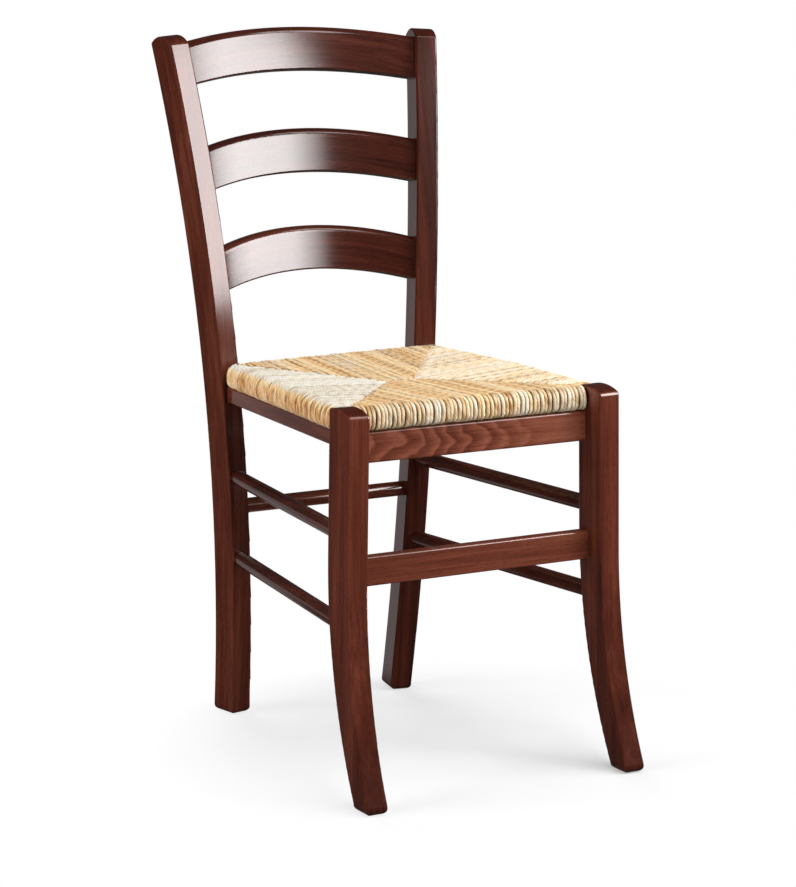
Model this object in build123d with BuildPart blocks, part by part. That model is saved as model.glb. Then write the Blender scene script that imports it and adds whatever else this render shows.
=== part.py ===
from build123d import *
from math import asin, cos, degrees, radians, sin, sqrt, tan
import os

# A ladder back chair with a rush seat. X runs across the chair, Y from front to back, Z up from the floor.
# The right hand pieces are modelled, and the left hand ones are their mirror images. Sizes in millimetres.

# Whole chair
tenon_clearance = 0.15      # room on every side of a tenon in its mortise
edge_radius = 2.5           # eased edges of legs and posts
rail_edge_radius = 2.5      # eased edges of the flat rails
saw_allowance = 3.0         # extra length below the floor, trimmed level
cut_allowance = 4.0         # how far outside a face the cut into it starts
foot_radius = 7.5
foot_bite = 1.0             # how far the rounding of a foot's sides is from meeting them tangent

# Front legs
leg_spacing = 342.0         # between the centre lines of the two leg tops
leg_width = 28.5
leg_top_depth = 48.5
leg_foot_depth = 35.0
leg_height = 467.0
leg_front_drop = 6.0        # fall of the crowned top to its front edge
leg_back_drop = 1.5         # fall of the crowned top to its back edge
leg_top_radius = 6.0        # rounding of the top's front edge
leg_sweep = 59.5            # how far the foot stands forward of the leg's straight front
leg_front_knee = 266.0      # height where the front starts to sweep
leg_back_knee = 288.0       # height where the back starts to sweep
leg_splay = 0.9             # lean in degrees, feet outwards

# Rear posts
post_height = 875.7
post_spacing = 273.0        # between the centre lines at the waist
post_width = 29.5
post_depth = 40.5
post_waist = 318.0          # height where the bent post stands furthest forward
post_bend_radius = 2120.0
post_toe = 10.8             # turn of the posts in degrees, fronts inwards
post_splay = 3.36           # lean in degrees, tops outwards
post_crown = 9.5            # rise of the rounded post top
post_top_radius = 4.0       # rounding of the top's front edge
seat_depth = 414.5          # from the front of the leg tops to the post's centre line at the waist

# Back slats
slat_drops = {"lower_slat": 295.0, "middle_slat": 168.0, "top_slat": 36.0}   # below the post height
slat_height = 57.0
slat_thickness = 16.0
slat_bow = 30.5             # hollow of the front face between the posts
slat_arch = 22.5            # rise of the middle over the ends
slat_inset = 14.0           # from the post's front face to the slat's
slat_crest_radius = 9.0     # rounding of the top's front edge
slat_back_radius = 5.0      # rounding of the top's rear edge
slat_edge_radius = 2.0
slat_tenon_thickness = 9.0
slat_tenon_height = 40.0
slat_tenon_length = 15.0

# Flat rails
rail_thickness = 16.0
front_rail_height = 37.0
front_rail_top = 435.5
stretcher_height = 35.5
stretcher_top = 288.0
stretcher_set_back = 27.0   # from the leg's front to the stretcher's front face
side_rail_height = 20.5
rear_rail_height = 18.0
rear_rail_top = 433.0
rail_tenon_thickness = 9.0
rail_tenon_length = 17.0
front_tenon_height = 14.0   # low in the rail, clear of the side rail's tenon
front_tenon_rise = 3.0      # from the bottom of the front rail to its tenon
stretcher_tenon_height = 24.0
side_tenon_height = 11.0
rear_tenon_height = 11.0
side_post_tenon_length = 11.0   # side rail into the post, clear of the rear rail's tenon
rear_tenon_length = 14.0

# Rungs
side_rung_heights = {"upper": 319.0, "lower": 211.5}   # at the posts
side_rung_fall = 2.0        # how much lower the front ends are
rear_rung_height = 275.8
rung_diameter = 19.3
rung_depth = 14.0           # length of a rung's end in its hole

# Rush seat and the frame it is wound on
rush_front_width = 370.0
rush_rear_width = 308.0
rush_set_back = 25.0        # from the leg's front to the front roll
rush_wrap = 5.0             # thickness of the rush over its bars
rush_bottom = 437.0         # also the top of the side rails, which carry the seat
rush_top_radius = 14.0
rush_bottom_radius = 9.0
rush_corner_radius = 18.0
rush_gap = 0.8              # between the rush and the legs and posts beside it
rush_dish = 9.0             # fall of the top from its rim to the middle
ridge_length = 36.0         # where the front and rear weaves meet
ridge_width = 3.0
bar_thickness = 20.0
bar_width = 24.0
bar_clearance = 0.15        # between the bars and the rush round them
bar_tenon_width = 14.0
bar_tenon_thickness = 9.0
bar_tenon_length = 12.0
stuffing_gap = 0.3          # between the stuffing and the bars and webs round it

# Screws that hold the seat on its side rails
screw_places = (0.25, 0.75)     # shares of the side rail's length
screw_diameter = 4.0
screw_head_diameter = 8.0
screw_head_height = 2.4
screw_bite = 12.0           # length in the frame bar
screw_clearance = 0.15


def post_rise(height):
    """Length along the post from its waist to a height."""
    return (height - post_waist) / cos(radians(post_splay))


def post_face(rise, forward):
    """Place of the post's front, centre or back line behind the waist, on arcs about one centre."""
    return post_bend_radius - sqrt((post_bend_radius + forward) ** 2 - rise**2)


# Heights of the middles of the slats' ends
slat_ends = {name: post_height - drop for name, drop in slat_drops.items()}

# Y is measured from the middle of the chair's depth, from the front of the feet to the back of the top slat.
crest_rise = post_rise(slat_ends["top_slat"] + slat_arch)
crest_front = seat_depth + post_face(crest_rise, post_depth / 2) + slat_inset + slat_bow
leg_front = leg_sweep - (leg_sweep + crest_front + slat_thickness) / 2
leg_back = leg_front + leg_top_depth

# The leg and post frames have X towards the back, Y up along the member and Z outwards.
leg_drift = leg_height * tan(radians(leg_splay))
leg_frame = Plane(
    origin=(leg_spacing / 2 + leg_drift, leg_front, 0),
    x_dir=(0, 1, 0),
    z_dir=(cos(radians(leg_splay)), 0, sin(radians(leg_splay))),
)
post_frame = Plane(
    origin=(post_spacing / 2, leg_front + seat_depth, post_waist),
    x_dir=(sin(radians(post_toe)), cos(radians(post_toe)), 0),
    z_dir=(
        cos(radians(post_toe)) * cos(radians(post_splay)),
        -sin(radians(post_toe)) * cos(radians(post_splay)),
        -sin(radians(post_splay)),
    ),
)
leg_inner_face = leg_frame.offset(-leg_width / 2)
post_inner_face = post_frame.offset(-post_width / 2)


def post_point(height, forward=0.0, outward=0.0):
    """A point in the post at a height on its middle plane, forward of its centre line and outward."""
    rise = post_rise(height)
    return post_frame.from_local_coords((post_face(rise, forward), rise, outward))


def post_front_plane(height):
    """The plane that touches the post's front face at a height, facing forward, with a joint's clearance."""
    turn = asin(post_rise(height) / (post_bend_radius + post_depth / 2))
    normal = post_frame.y_dir * sin(turn) - post_frame.x_dir * cos(turn)
    face = post_point(height, forward=post_depth / 2)
    return Plane(origin=face + normal * tenon_clearance, x_dir=post_frame.z_dir, z_dir=normal)


def swept(height, knee, reach):
    """How far a face of the leg has swept forward at a height below its knee."""
    drop = max(knee - height, 0.0)
    radius = (knee**2 + reach**2) / (2 * reach)
    return radius - sqrt(radius**2 - drop**2)


def leg_front_line(height):
    return -swept(height, leg_front_knee, leg_sweep)


def leg_back_line(height):
    return leg_top_depth - swept(height, leg_back_knee, leg_sweep + leg_top_depth - leg_foot_depth)


def leg_point(height):
    """The middle of the leg at a height."""
    middle = (leg_front_line(height) + leg_back_line(height)) / 2
    return leg_frame.from_local_coords((middle, height, 0))


def ease_member(member, frame, top_front_radius):
    """Round the front and back of a foot and the front of a top, then ease the member's other edges."""
    foot_edges = member.faces().sort_by(Axis.Z)[0].edges().sort_by(Axis.Y)
    fillet([foot_edges[0], foot_edges[-1]], foot_radius)
    fillet(member.faces().sort_by(Axis.Z)[-1].edges().sort_by(Axis.Y)[0], top_front_radius)
    sides = member.faces().sort_by(Axis(frame.origin, frame.z_dir))
    top_back = member.faces().sort_by(Axis.Z)[-1].edges().sort_by(Axis.Y)[-1]
    fillet(sides[0].edges() + sides[-1].edges() + [top_back], edge_radius)


def round_foot(frame, foot, half_width):
    """Round the left and right sides of a foot with cuts that run from its front to its back."""
    reach = foot_radius + foot_bite
    bulge = sqrt((reach**2 + foot_bite**2) / 2)
    with BuildSketch(Plane(origin=foot, x_dir=frame.z_dir, z_dir=-frame.x_dir)) as corners:
        with BuildLine():
            low = (half_width - foot_radius, 0)
            high = (half_width, foot_radius)
            middle = (half_width - reach + bulge, reach - bulge)
            ThreePointArc(low, middle, high)
            Polyline(
                high,
                (half_width + cut_allowance, foot_radius),
                (half_width + cut_allowance, -cut_allowance),
                (half_width - foot_radius, -cut_allowance),
                low,
            )
        make_face()
        mirror(about=Plane.YZ)
    extrude(corners.sketch, amount=leg_top_depth, both=True, mode=Mode.SUBTRACT)


def mirrored(piece):
    """The left hand twin of a right hand piece."""
    with BuildPart() as twin:
        mirror(piece.part, about=Plane.YZ)
    return twin


# Joints: a tenon function draws the tenon's section, or the mortise's with room round the tenon
def slat_lean(height):
    """Backward lean of a slat in degrees, as the posts lean at its height."""
    return degrees(asin(post_rise(height) / post_bend_radius))


def slat_plane(height):
    """Plan of a slat: Y towards the back, Z up the slat, from the middle of its front face's chord."""
    lean = radians(slat_lean(height))
    edge = post_point(height, forward=post_depth / 2 - slat_inset)
    return Plane(origin=(0, edge.Y, height), x_dir=(1, 0, 0), z_dir=(0, sin(lean), cos(lean)))


def slat_half_span(height):
    """Half the clear width between the posts at a slat."""
    return post_point(height, outward=-post_width / 2).X


def slat_tenon(height, room):
    """On the post's inner face, at the middle of the slat's end."""
    end = slat_plane(height).from_local_coords((slat_half_span(height), slat_thickness / 2, 0))
    place = post_inner_face.to_local_coords(end)
    with BuildSketch(post_inner_face) as face:
        with Locations((place.X, place.Y)):
            Rectangle(
                slat_tenon_thickness + 2 * room,
                slat_tenon_height + 2 * room,
                rotation=-slat_lean(height),
            )
    return face.sketch


def cross_tenon(inner_face, back, rise, height, room):
    """Of a rail across the chair, on the inner face of a leg or post, at a place in that face."""
    with BuildSketch(inner_face) as face:
        with Locations((back, rise)):
            Rectangle(rail_tenon_thickness + 2 * room, height + 2 * room)
    return face.sketch


def front_rail_tenon(room):
    middle = front_rail_top - front_rail_height + front_tenon_rise + front_tenon_height / 2
    return cross_tenon(leg_inner_face, front_rail_back, middle, front_tenon_height, room)


def stretcher_tenon(room):
    return cross_tenon(leg_inner_face, stretcher_back, stretcher_middle, stretcher_tenon_height, room)


def rear_rail_tenon(room):
    rise = post_rise(rear_rail_middle)
    return cross_tenon(post_inner_face, post_face(rise, 0), rise, rear_tenon_height, room)


def side_rail_tenon(start, room):
    """Square to the side rail, at a distance behind the leg's back face."""
    with BuildSketch(side_rail_plane.offset(start)) as face:
        Rectangle(side_tenon_height + 2 * room, rail_tenon_thickness + 2 * room)
    return face.sketch


front_rail_back = leg_top_depth - rail_thickness / 2
front_rail_middle = front_rail_top - front_rail_height / 2
stretcher_back = stretcher_set_back + rail_thickness / 2
stretcher_middle = stretcher_top - stretcher_height / 2
rear_rail_middle = rear_rail_top - rear_rail_height / 2

# The side rail runs from the inner edge of the leg's back face to the middle of the post's front face.
side_rail_middle = rush_bottom - side_rail_height / 2
side_rail_front = Vector((leg_spacing - leg_width + rail_thickness) / 2, leg_back, side_rail_middle)
side_rail_rear = post_point(side_rail_middle, forward=post_depth / 2)
side_rail_run = side_rail_rear - side_rail_front
side_rail_plane = Plane(origin=side_rail_front, x_dir=(0, 0, 1), z_dir=side_rail_run)


def side_rung_ends(height):
    """Where a right side rung crosses the middles of its leg and post, half a hole deep."""
    front = height - side_rung_fall
    leg_end = leg_frame.from_local_coords((leg_back_line(front) - rung_depth / 2, front, 0))
    return leg_end, post_point(height, forward=(post_depth - rung_depth) / 2)


def rear_rung_ends():
    """Where the rear rung crosses the posts, half a hole deep."""
    right = post_point(rear_rung_height, outward=(rung_depth - post_width) / 2)
    return Vector(-right.X, right.Y, right.Z), right


def rung_hole(end, far_end):
    """A blind hole for a rung's end, from its bottom outwards."""
    way = (far_end - end).normalized()
    with BuildPart() as hole:
        with BuildSketch(Plane(origin=end - way * (rung_depth / 2 + tenon_clearance), z_dir=way)):
            Circle(rung_diameter / 2 + tenon_clearance)
        extrude(amount=rung_depth + rung_diameter)
    return hole.part


def rung(start, end):
    """A plain dowel that runs half a hole's depth past each of its end points."""
    way = (end - start).normalized()
    with BuildPart() as dowel:
        with BuildSketch(Plane(origin=start - way * rung_depth / 2, z_dir=way)):
            Circle(rung_diameter / 2)
        extrude(amount=(end - start).length + rung_depth)
    return dowel


def screws(room):
    """The two screws of the right side, or their holes, from the bottom of the side rail up."""
    length = side_rail_height + rush_wrap + screw_bite + room
    shank = screw_diameter / 2 + room
    with BuildPart() as pair:
        for share in screw_places:
            foot = side_rail_front + side_rail_run * share - Vector(0, 0, side_rail_height / 2)
            with BuildSketch(Plane(origin=foot, x_dir=(1, 0, 0), z_dir=(0, -1, 0))):
                with BuildLine():
                    Polyline(
                        (0, 0),
                        (screw_head_diameter / 2 + room, 0),
                        (shank, screw_head_height),
                        (shank, length),
                        (0, length),
                        close=True,
                    )
                make_face()
            revolve(axis=Axis(foot, (0, 0, 1)))
    return pair


# Front legs: a sawn profile, straight at the seat and swept forward to the foot
with BuildPart() as front_leg_right:
    with BuildSketch(leg_frame):
        with BuildLine():
            front_top = (0, leg_height - leg_front_drop)
            back_top = (leg_top_depth, leg_height - leg_back_drop)
            front_knee = (0, leg_front_knee)
            back_knee = (leg_top_depth, leg_back_knee)
            front_foot = (leg_front_line(-saw_allowance), -saw_allowance)
            back_foot = (leg_back_line(-saw_allowance), -saw_allowance)
            ThreePointArc(front_top, (leg_top_depth / 2, leg_height), back_top)
            Line(back_top, back_knee)
            TangentArc(back_knee, back_foot, tangent=(0, -1))
            Line(back_foot, front_foot)
            TangentArc(front_knee, front_foot, tangent=(0, -1))
            Line(front_knee, front_top)
        make_face()
    extrude(amount=leg_width / 2, both=True)
    split(bisect_by=Plane.XY, keep=Keep.TOP)
    ease_member(front_leg_right, leg_frame, leg_top_radius)
    round_foot(leg_frame, leg_point(0), leg_width / 2)
    for face in (front_rail_tenon(tenon_clearance), stretcher_tenon(tenon_clearance)):
        extrude(face, amount=rail_tenon_length + tenon_clearance, mode=Mode.SUBTRACT)
    mortise = side_rail_tenon(cut_allowance, tenon_clearance)
    extrude(mortise, amount=-cut_allowance - rail_tenon_length - tenon_clearance, mode=Mode.SUBTRACT)
    for height in side_rung_heights.values():
        leg_end, post_end = side_rung_ends(height)
        add(rung_hole(leg_end, post_end), mode=Mode.SUBTRACT)
front_leg_left = mirrored(front_leg_right)

# Rear posts: one long bend in a plane that is toed in and leans outwards
with BuildPart() as rear_post_right:
    with BuildSketch(post_frame):
        with BuildLine():
            foot_rise = post_rise(-saw_allowance)
            inner_edge_lift = post_width / 2 * tan(radians(post_splay))
            top_rise = post_rise(post_height) - inner_edge_lift - post_crown
            front_foot = (post_face(foot_rise, post_depth / 2), foot_rise)
            back_foot = (post_face(foot_rise, -post_depth / 2), foot_rise)
            front_top = (post_face(top_rise, post_depth / 2), top_rise)
            back_top = (post_face(top_rise, -post_depth / 2), top_rise)
            ThreePointArc(front_foot, (-post_depth / 2, 0), front_top)
            ThreePointArc(front_top, ((front_top[0] + back_top[0]) / 2, top_rise + post_crown), back_top)
            ThreePointArc(back_top, (post_depth / 2, 0), back_foot)
            Line(back_foot, front_foot)
        make_face()
    extrude(amount=post_width / 2, both=True)
    split(bisect_by=Plane.XY, keep=Keep.TOP)
    ease_member(rear_post_right, post_frame, post_top_radius)
    round_foot(post_frame, post_point(0), post_width / 2)
    for height in slat_ends.values():
        mortise = slat_tenon(height, tenon_clearance)
        extrude(mortise, amount=slat_tenon_length + tenon_clearance, mode=Mode.SUBTRACT)
    extrude(rear_rail_tenon(tenon_clearance), amount=rear_tenon_length + tenon_clearance, mode=Mode.SUBTRACT)
    mortise = side_rail_tenon(side_rail_run.length - cut_allowance, tenon_clearance)
    extrude(mortise, amount=cut_allowance + side_post_tenon_length + tenon_clearance, mode=Mode.SUBTRACT)
    for height in side_rung_heights.values():
        leg_end, post_end = side_rung_ends(height)
        add(rung_hole(post_end, leg_end), mode=Mode.SUBTRACT)
    left_end, right_end = rear_rung_ends()
    add(rung_hole(right_end, left_end), mode=Mode.SUBTRACT)
rear_post_left = mirrored(rear_post_right)


# Back slats: bowed in plan, arched in front view, and leaning as the posts do
def back_slat(height):
    plan = slat_plane(height)
    half_span = slat_half_span(height)
    reach = half_span + post_width / 2
    bow_radius = (half_span**2 + slat_bow**2) / (2 * slat_bow)
    turn = degrees(asin(reach / bow_radius))
    end_fall = slat_arch * (reach / half_span) ** 2
    face_view = Plane(origin=plan.origin, x_dir=plan.x_dir, z_dir=-plan.y_dir)
    with BuildPart() as slat:
        with BuildSketch(plan):
            with BuildLine():
                centre = (0, slat_bow - bow_radius)
                front = CenterArc(centre, bow_radius, 90, -turn)
                back = CenterArc(centre, bow_radius + slat_thickness, 90, -turn)
                Line(front @ 0, back @ 0)
                Line(front @ 1, back @ 1)
            make_face()
        extrude(amount=slat_height + slat_arch, both=True)
        with BuildSketch(face_view):
            with BuildLine():
                low = slat_arch - slat_height / 2
                high = low + slat_height
                bottom = TangentArc((0, low), (reach, low - end_fall), tangent=(1, 0))
                top = TangentArc((0, high), (reach, high - end_fall), tangent=(1, 0))
                Line(bottom @ 0, top @ 0)
                Line(bottom @ 1, top @ 1)
            make_face()
        extrude(amount=reach, both=True, mode=Mode.INTERSECT)
        split(bisect_by=post_inner_face, keep=Keep.BOTTOM)
        upward = Axis(plan.origin, plan.z_dir)
        backward = Axis(plan.origin, plan.y_dir)
        long_edges = slat.edges().filter_by(lambda edge: edge.bounding_box().size.X > half_span / 2)
        crest_edges = long_edges.sort_by(upward)[2:].sort_by(backward)
        fillet(crest_edges[-1], slat_back_radius)
        long_edges = slat.edges().filter_by(lambda edge: edge.bounding_box().size.X > half_span / 2)
        crest_edges = long_edges.sort_by(upward)[2:].sort_by(backward)
        fillet(crest_edges[0], min(slat_crest_radius, slat_thickness - slat_back_radius - slat_edge_radius))
        long_edges = slat.edges().filter_by(lambda edge: edge.bounding_box().size.X > half_span / 2)
        fillet(long_edges.sort_by(upward)[:2], slat_edge_radius)
        extrude(slat_tenon(height, 0), amount=slat_tenon_length)
        mirror(about=Plane.YZ)
    return slat


slats = {name: back_slat(height) for name, height in slat_ends.items()}


# Flat rails across the chair: half a rail up to the shoulder, its tenon, and the mirror image
def cross_rail(depth_middle, height_middle, height, inner_face, tenon, tenon_length):
    with BuildPart() as rail:
        with BuildSketch(Plane.YZ):
            with Locations((depth_middle, height_middle)):
                RectangleRounded(rail_thickness, height, rail_edge_radius)
        extrude(amount=inner_face.origin.X + rail_thickness)
        split(bisect_by=inner_face, keep=Keep.BOTTOM)
        extrude(tenon, amount=tenon_length)
        mirror(about=Plane.YZ)
    return rail


front_seat_rail = cross_rail(
    leg_front + front_rail_back,
    front_rail_middle,
    front_rail_height,
    leg_inner_face,
    front_rail_tenon(0),
    rail_tenon_length,
)
front_stretcher = cross_rail(
    leg_front + stretcher_back,
    stretcher_middle,
    stretcher_height,
    leg_inner_face,
    stretcher_tenon(0),
    rail_tenon_length,
)
rear_seat_rail = cross_rail(
    post_point(rear_rail_middle).Y,
    rear_rail_middle,
    rear_rail_height,
    post_inner_face,
    rear_rail_tenon(0),
    rear_tenon_length,
)

# Side rails, shouldered against the leg and the post
with BuildPart() as right_seat_rail:
    with BuildSketch(side_rail_plane.offset(-rail_thickness)):
        RectangleRounded(side_rail_height, rail_thickness, rail_edge_radius)
    extrude(amount=side_rail_run.length + 2 * rail_thickness)
    split(bisect_by=Plane(origin=(0, leg_back, 0), z_dir=(0, 1, 0)), keep=Keep.TOP)
    split(bisect_by=post_front_plane(side_rail_middle), keep=Keep.TOP)
    tenon_run = rail_tenon_length + side_rail_run.length + side_post_tenon_length
    extrude(side_rail_tenon(-rail_tenon_length, 0), amount=tenon_run)
    add(screws(screw_clearance).part, mode=Mode.SUBTRACT)
left_seat_rail = mirrored(right_seat_rail)

# Rungs
side_rungs = {}
for place, height in side_rung_heights.items():
    right_rung = rung(*side_rung_ends(height))
    side_rungs[f"right_{place}_rung"] = right_rung
    side_rungs[f"left_{place}_rung"] = mirrored(right_rung)
rear_rung = rung(*rear_rung_ends())

# Frame of the seat: a front bar with a nose between the legs, two side bars and a rear bar
rush_top = rush_bottom + bar_thickness + 2 * rush_wrap
rush_front = leg_front + rush_set_back
rush_rear = post_point(rush_bottom, forward=post_depth / 2, outward=post_width / 2).Y - rush_gap
leg_inner_x = (leg_spacing - leg_width) / 2
bar_bottom = rush_bottom + rush_wrap
bar_middle = bar_bottom + bar_thickness / 2
nose_front = rush_front + rush_wrap
nose_half = leg_inner_x - rush_gap - rush_wrap
frame_front = leg_back + rush_gap + rush_wrap
frame_rear = rush_rear - rush_wrap
opening_front = frame_front + bar_width
opening_rear = frame_rear - bar_width
front_bar_middle = frame_front + bar_width / 2
rear_bar_middle = frame_rear - bar_width / 2


def rush_half(depth):
    """Half the width of the seat at a depth, between its front and rear edges."""
    share = (depth - rush_front) / (rush_rear - rush_front)
    return (rush_front_width + (rush_rear_width - rush_front_width) * share) / 2


def bar_outer(depth):
    return rush_half(depth) - rush_wrap


def bar_inner(depth):
    return bar_outer(depth) - bar_width


def seat_outline(front, rear, inset):
    """Corners of a seat shape whose sides lie inside the rush's by an inset."""
    front_half = rush_half(front) - inset
    rear_half = rush_half(rear) - inset
    return [(-front_half, front), (front_half, front), (rear_half, rear), (-rear_half, rear)]


def dish(rim, top, fall):
    """The hollow of the seat: four slopes from a rim down to the short ridge where the weaves meet."""
    with BuildPart() as hollow:
        with BuildSketch(Plane.XY.offset(top)):
            with BuildLine():
                Polyline(*rim, close=True)
            make_face()
        with BuildSketch(Plane.XY.offset(top - fall)):
            with Locations((0, (rush_front + rush_rear) / 2)):
                Rectangle(ridge_length, ridge_width)
        loft(ruled=True)
    return hollow.part


def bar_tenon(depth, room):
    """Section of the tenon that runs through a cross bar into both side bars."""
    with BuildSketch(Plane.YZ) as face:
        with Locations((depth, bar_middle)):
            Rectangle(bar_tenon_width + 2 * room, bar_tenon_thickness + 2 * room)
    return face.sketch


with BuildPart() as rush_frame_front_bar:
    with BuildSketch(Plane.XY.offset(bar_bottom)):
        with BuildLine():
            Polyline(
                (-nose_half, nose_front),
                (nose_half, nose_front),
                (nose_half, frame_front),
                (bar_inner(frame_front), frame_front),
                (bar_inner(opening_front), opening_front),
                (-bar_inner(opening_front), opening_front),
                (-bar_inner(frame_front), frame_front),
                (-nose_half, frame_front),
                close=True,
            )
        make_face()
    extrude(amount=bar_thickness)
    extrude(bar_tenon(front_bar_middle, 0), amount=bar_inner(front_bar_middle) + bar_tenon_length, both=True)

with BuildPart() as rush_frame_rear_bar:
    with BuildSketch(Plane.XY.offset(bar_bottom)):
        with BuildLine():
            Polyline(*seat_outline(opening_rear, frame_rear, rush_wrap + bar_width), close=True)
        make_face()
    extrude(amount=bar_thickness)
    extrude(bar_tenon(rear_bar_middle, 0), amount=bar_inner(rear_bar_middle) + bar_tenon_length, both=True)

with BuildPart() as rush_frame_right_bar:
    with BuildSketch(Plane.XY.offset(bar_bottom)):
        with BuildLine():
            Polyline(
                (bar_outer(frame_front), frame_front),
                (bar_outer(frame_rear), frame_rear),
                (bar_inner(frame_rear), frame_rear),
                (bar_inner(frame_front), frame_front),
                close=True,
            )
        make_face()
    extrude(amount=bar_thickness)
    for depth in (front_bar_middle, rear_bar_middle):
        reach = bar_inner(depth) + bar_tenon_length + tenon_clearance
        extrude(bar_tenon(depth, tenon_clearance), amount=reach, mode=Mode.SUBTRACT)
    add(screws(screw_clearance).part, mode=Mode.SUBTRACT)
rush_frame_left_bar = mirrored(rush_frame_right_bar)

# Stuffing in the opening of the frame, hollowed as the seat is
stuffing_outline = seat_outline(
    opening_front + stuffing_gap,
    opening_rear - stuffing_gap,
    rush_wrap + bar_width + stuffing_gap,
)
stuffing_top = bar_bottom + bar_thickness - stuffing_gap
with BuildPart() as seat_stuffing:
    with BuildSketch(Plane.XY.offset(bar_bottom + stuffing_gap)):
        with BuildLine():
            Polyline(*stuffing_outline, close=True)
        make_face()
    extrude(amount=stuffing_top - bar_bottom - stuffing_gap)
    add(dish(stuffing_outline, stuffing_top, rush_dish), mode=Mode.SUBTRACT)

# Room in the rush for its bars and stuffing
with BuildPart() as seat_core:
    with BuildSketch(Plane.XY.offset(bar_bottom - bar_clearance)):
        with BuildLine():
            Polyline(
                (-nose_half, nose_front),
                (nose_half, nose_front),
                (nose_half, frame_front),
                (bar_outer(frame_front), frame_front),
                (bar_outer(frame_rear), frame_rear),
                (-bar_outer(frame_rear), frame_rear),
                (-bar_outer(frame_front), frame_front),
                (-nose_half, frame_front),
                close=True,
            )
        make_face()
        offset(amount=bar_clearance, kind=Kind.INTERSECTION)
    extrude(amount=bar_thickness + 2 * bar_clearance)
    opening = seat_outline(opening_front, opening_rear, rush_wrap + bar_width)
    add(dish(opening, bar_bottom + bar_thickness + bar_clearance, rush_dish), mode=Mode.SUBTRACT)

# Rush seat: rolled over its bars, hollowed to the middle and notched round the front legs
with BuildPart() as rush_seat:
    with BuildSketch(Plane.XY.offset(rush_bottom)) as seat_plan:
        with BuildLine():
            Polyline(*seat_outline(rush_front, rush_rear, 0), close=True)
        make_face()
        fillet(seat_plan.vertices(), rush_corner_radius)
    extrude(amount=rush_top - rush_bottom)
    fillet(rush_seat.faces().sort_by(Axis.Z)[-1].edges(), rush_top_radius)
    fillet(rush_seat.faces().sort_by(Axis.Z)[0].edges(), rush_bottom_radius)
    rim = seat_outline(rush_front + rush_top_radius, rush_rear - rush_top_radius, rush_top_radius)
    add(dish(rim, rush_top, rush_dish), mode=Mode.SUBTRACT)
    add(seat_core.part, mode=Mode.SUBTRACT)
    with BuildSketch(Plane.XY.offset(rush_bottom)):
        leg_middle = (leg_front + leg_back) / 2
        with Locations((leg_spacing / 2, leg_middle), (-leg_spacing / 2, leg_middle)):
            Rectangle(leg_width + 2 * rush_gap, leg_top_depth + 2 * rush_gap)
    extrude(amount=rush_top - rush_bottom, mode=Mode.SUBTRACT)
    right_holes = screws(screw_clearance)
    add(right_holes.part, mode=Mode.SUBTRACT)
    add(mirrored(right_holes).part, mode=Mode.SUBTRACT)

with BuildPart() as seat_screws:
    right_screws = screws(0)
    add(right_screws.part)
    add(mirrored(right_screws).part)

pieces = {
    "front_leg_right": front_leg_right,
    "front_leg_left": front_leg_left,
    "rear_post_right": rear_post_right,
    "rear_post_left": rear_post_left,
    **slats,
    "front_seat_rail": front_seat_rail,
    "rear_seat_rail": rear_seat_rail,
    "right_seat_rail": right_seat_rail,
    "left_seat_rail": left_seat_rail,
    "front_stretcher": front_stretcher,
    **side_rungs,
    "rear_rung": rear_rung,
    "rush_frame_front_bar": rush_frame_front_bar,
    "rush_frame_rear_bar": rush_frame_rear_bar,
    "rush_frame_right_bar": rush_frame_right_bar,
    "rush_frame_left_bar": rush_frame_left_bar,
    "seat_stuffing": seat_stuffing,
    "rush_seat": rush_seat,
    "seat_screws": seat_screws,
}
os.makedirs("parts", exist_ok=True)
for name, piece in pieces.items():
    piece.part.label = name
    export_step(piece.part, f"parts/{name}.step")
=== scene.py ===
import math
import random
from collections import namedtuple

import bpy
import numpy as np
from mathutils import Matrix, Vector


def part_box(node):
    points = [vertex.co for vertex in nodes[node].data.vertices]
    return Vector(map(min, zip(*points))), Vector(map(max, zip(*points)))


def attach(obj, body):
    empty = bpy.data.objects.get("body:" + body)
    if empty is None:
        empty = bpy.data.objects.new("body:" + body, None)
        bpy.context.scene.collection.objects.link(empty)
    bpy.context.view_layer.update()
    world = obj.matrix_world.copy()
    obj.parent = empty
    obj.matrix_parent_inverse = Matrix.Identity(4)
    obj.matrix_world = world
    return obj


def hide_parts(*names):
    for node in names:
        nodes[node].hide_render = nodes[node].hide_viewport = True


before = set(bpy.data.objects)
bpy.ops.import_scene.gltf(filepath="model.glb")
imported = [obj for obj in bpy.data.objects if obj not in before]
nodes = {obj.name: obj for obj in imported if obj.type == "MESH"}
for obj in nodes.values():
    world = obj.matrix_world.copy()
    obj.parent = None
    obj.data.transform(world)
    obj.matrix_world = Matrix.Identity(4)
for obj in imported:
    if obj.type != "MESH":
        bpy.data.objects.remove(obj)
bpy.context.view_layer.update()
scene = bpy.context.scene
scene.view_settings.view_transform = "Standard"

MM = 0.001
SEED = 7
draw = random.Random(SEED)

# camera, at the photograph's place
CAMERA_PLACE = Vector((-1.8200, -3.2805, 1.0758))
CAMERA_TURN = math.radians(29.149)       # to the right of straight back
CAMERA_FALL = math.radians(10.554)       # below the horizon
FOCAL_PIXELS = 3063.0
PHOTO_WIDTH = 796.0
SENSOR = 36.0
FARTHEST = 100.0


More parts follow.
